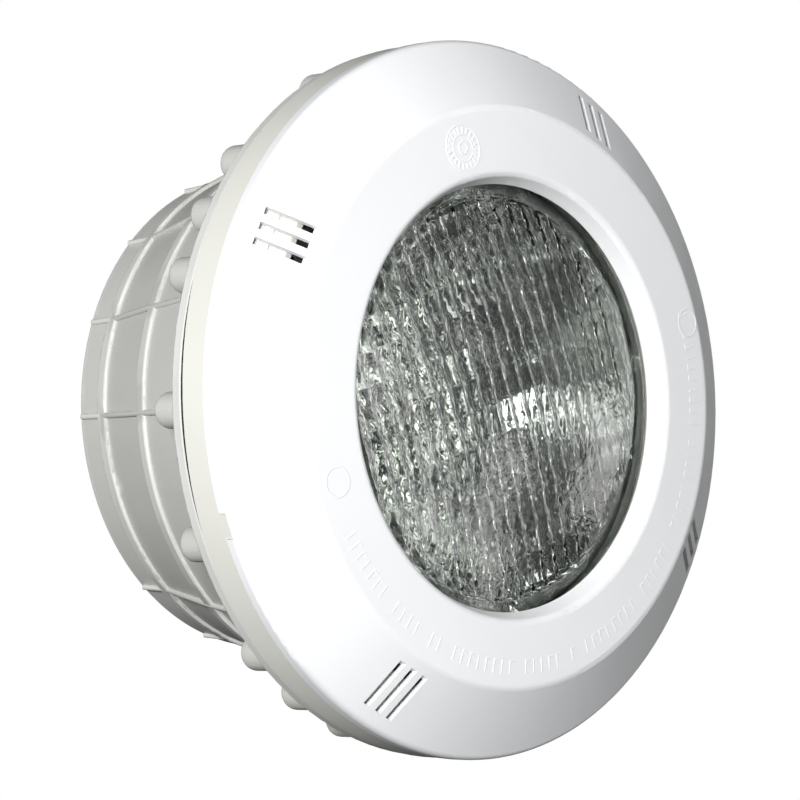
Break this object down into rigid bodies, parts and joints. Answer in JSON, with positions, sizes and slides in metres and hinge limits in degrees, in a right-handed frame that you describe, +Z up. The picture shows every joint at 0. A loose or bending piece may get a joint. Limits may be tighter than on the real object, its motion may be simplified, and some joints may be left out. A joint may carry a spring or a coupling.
{
  "type": "underwater pool light",
  "caption": "Round underwater pool light: sealed-beam lamp behind a white slotted faceplate, in a ribbed grey wall niche with glands.",
  "frame": {"origin": "centre of the back face of the niche flange, on the optical axis, where the flange meets the wall", "axes": "+Z up, the light shines along -Y, the niche goes back into the wall along +Y, +X to the right seen from the front"},
  "size_m": [0.28, 0.1629, 0.28],
  "materials": {
    "niche_plastic": "moulded light grey ABS, satin",
    "cream_plastic": "moulded cream ABS, satin",
    "white_plastic": "moulded white ABS, semi-gloss",
    "clamp_plastic": "moulded white ABS",
    "housing_plastic": "moulded black ABS",
    "gland_plastic": "black polyamide",
    "rubber_black": "black EPDM",
    "silicone": "grey silicone rubber",
    "stainless": "A4 stainless steel",
    "brass": "turned brass",
    "lens_glass": "pressed fluted glass",
    "reflector_glass": "glass, aluminised inside",
    "tungsten": "tungsten wire"
  },
  "bodies": {
    "niche": {"niche_body": "niche_plastic", "niche_inserts": "brass", "liner_gasket_rear": "rubber_black", "liner_gasket_front": "rubber_black", "clamp_ring": "clamp_plastic", "clamp_screws": "stainless", "lug_inserts": "brass", "conduit_gland_body": "gland_plastic", "conduit_gland_washer": "rubber_black", "conduit_gland_seal": "rubber_black"},
    "conduit_gland_nut": {"conduit_gland_nut": "gland_plastic"},
    "lamp_unit": {"carrier_ring": "cream_plastic", "screw_keepers": "rubber_black", "lamp_lens": "lens_glass", "lamp_reflector": "reflector_glass", "lamp_filament": "tungsten", "filament_leads": "tungsten", "lamp_terminals": "brass", "terminal_screws": "stainless", "lamp_gasket": "silicone", "rear_housing": "housing_plastic", "housing_o_ring": "rubber_black", "housing_screws": "stainless", "lamp_gland_body": "gland_plastic", "lamp_gland_washer": "rubber_black", "lamp_gland_seal": "rubber_black"},
    "lamp_gland_nut": {"lamp_gland_nut": "gland_plastic"},
    "faceplate": {"faceplate": "white_plastic"},
    "fixing_screw_1": {"fixing_screw_1": "stainless"},
    "fixing_screw_2": {"fixing_screw_2": "stainless"},
    "fixing_screw_3": {"fixing_screw_3": "stainless"},
    "fixing_screw_4": {"fixing_screw_4": "stainless"}
  },
  "joints": [
    {"name": "lamp_unit_withdraw", "type": "slide", "parent": "niche", "child": "lamp_unit", "axis": [0, -1, 0], "range_m": [0, 0.115]},
    {"name": "faceplate_pull_off", "type": "slide", "parent": "lamp_unit", "child": "faceplate", "axis": [0, -1, 0], "range_m": [0, 0.04]},
    {"name": "fixing_screw_1_turn", "type": "hinge", "parent": "lamp_unit", "child": "fixing_screw_1", "pos_m": [0.07672, -0.016, 0.07672], "axis": [0, 1, 0], "continuous": true},
    {"name": "fixing_screw_2_turn", "type": "hinge", "parent": "lamp_unit", "child": "fixing_screw_2", "pos_m": [-0.07672, -0.016, 0.07672], "axis": [0, 1, 0], "continuous": true},
    {"name": "fixing_screw_3_turn", "type": "hinge", "parent": "lamp_unit", "child": "fixing_screw_3", "pos_m": [-0.07672, -0.016, -0.07672], "axis": [0, 1, 0], "continuous": true},
    {"name": "fixing_screw_4_turn", "type": "hinge", "parent": "lamp_unit", "child": "fixing_screw_4", "pos_m": [0.07672, -0.016, -0.07672], "axis": [0, 1, 0], "continuous": true},
    {"name": "lamp_gland_nut_turn", "type": "hinge", "parent": "lamp_unit", "child": "lamp_gland_nut", "pos_m": [0, 0.05, -0.09], "axis": [0, 0, 1], "continuous": true},
    {"name": "conduit_gland_nut_turn", "type": "hinge", "parent": "niche", "child": "conduit_gland_nut", "pos_m": [0.05233, 0.0855, -0.05233], "axis": [0, 1, 0], "continuous": true}
  ]
}
